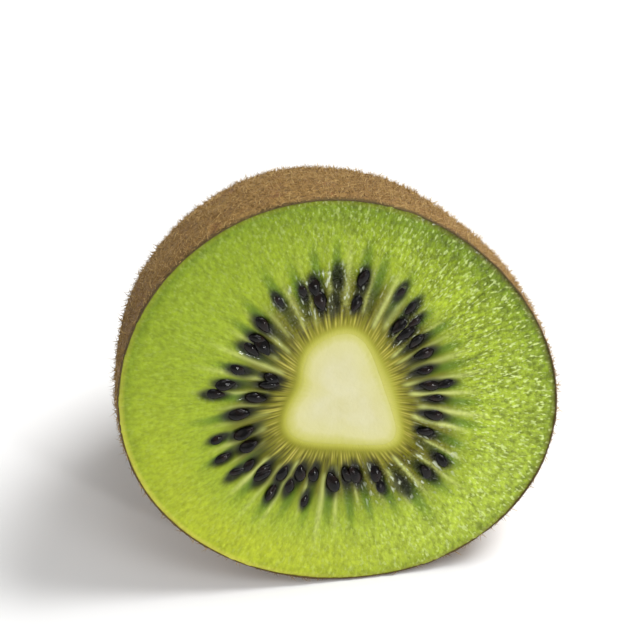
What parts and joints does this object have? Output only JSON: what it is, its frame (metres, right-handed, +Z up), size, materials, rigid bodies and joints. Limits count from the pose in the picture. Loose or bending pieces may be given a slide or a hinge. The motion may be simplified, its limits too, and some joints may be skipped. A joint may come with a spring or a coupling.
{
  "type": "kiwi fruit half",
  "caption": "Kiwi fruit half, cut across its length: fuzzy brown skin, green flesh with a ring of dark seeds and a pale core; rests on its rounded side.",
  "frame": {"origin": "middle of the fruit's footprint box, on the surface it rests on", "axes": "+Z up; the cut face looks towards -Y and is turned up by 15 degrees; +X is to the right as one faces the cut"},
  "size_m": [0.0506, 0.0382, 0.0471],
  "materials": {
    "flesh": "moist translucent green fruit flesh",
    "core": "smooth moist pale cream core",
    "skin": "thin dry brown skin with short fuzz",
    "seed": "glossy near-black seeds"
  },
  "bodies": {
    "root": {"flesh": "flesh", "core": "core"}
  },
  "joints": []
}
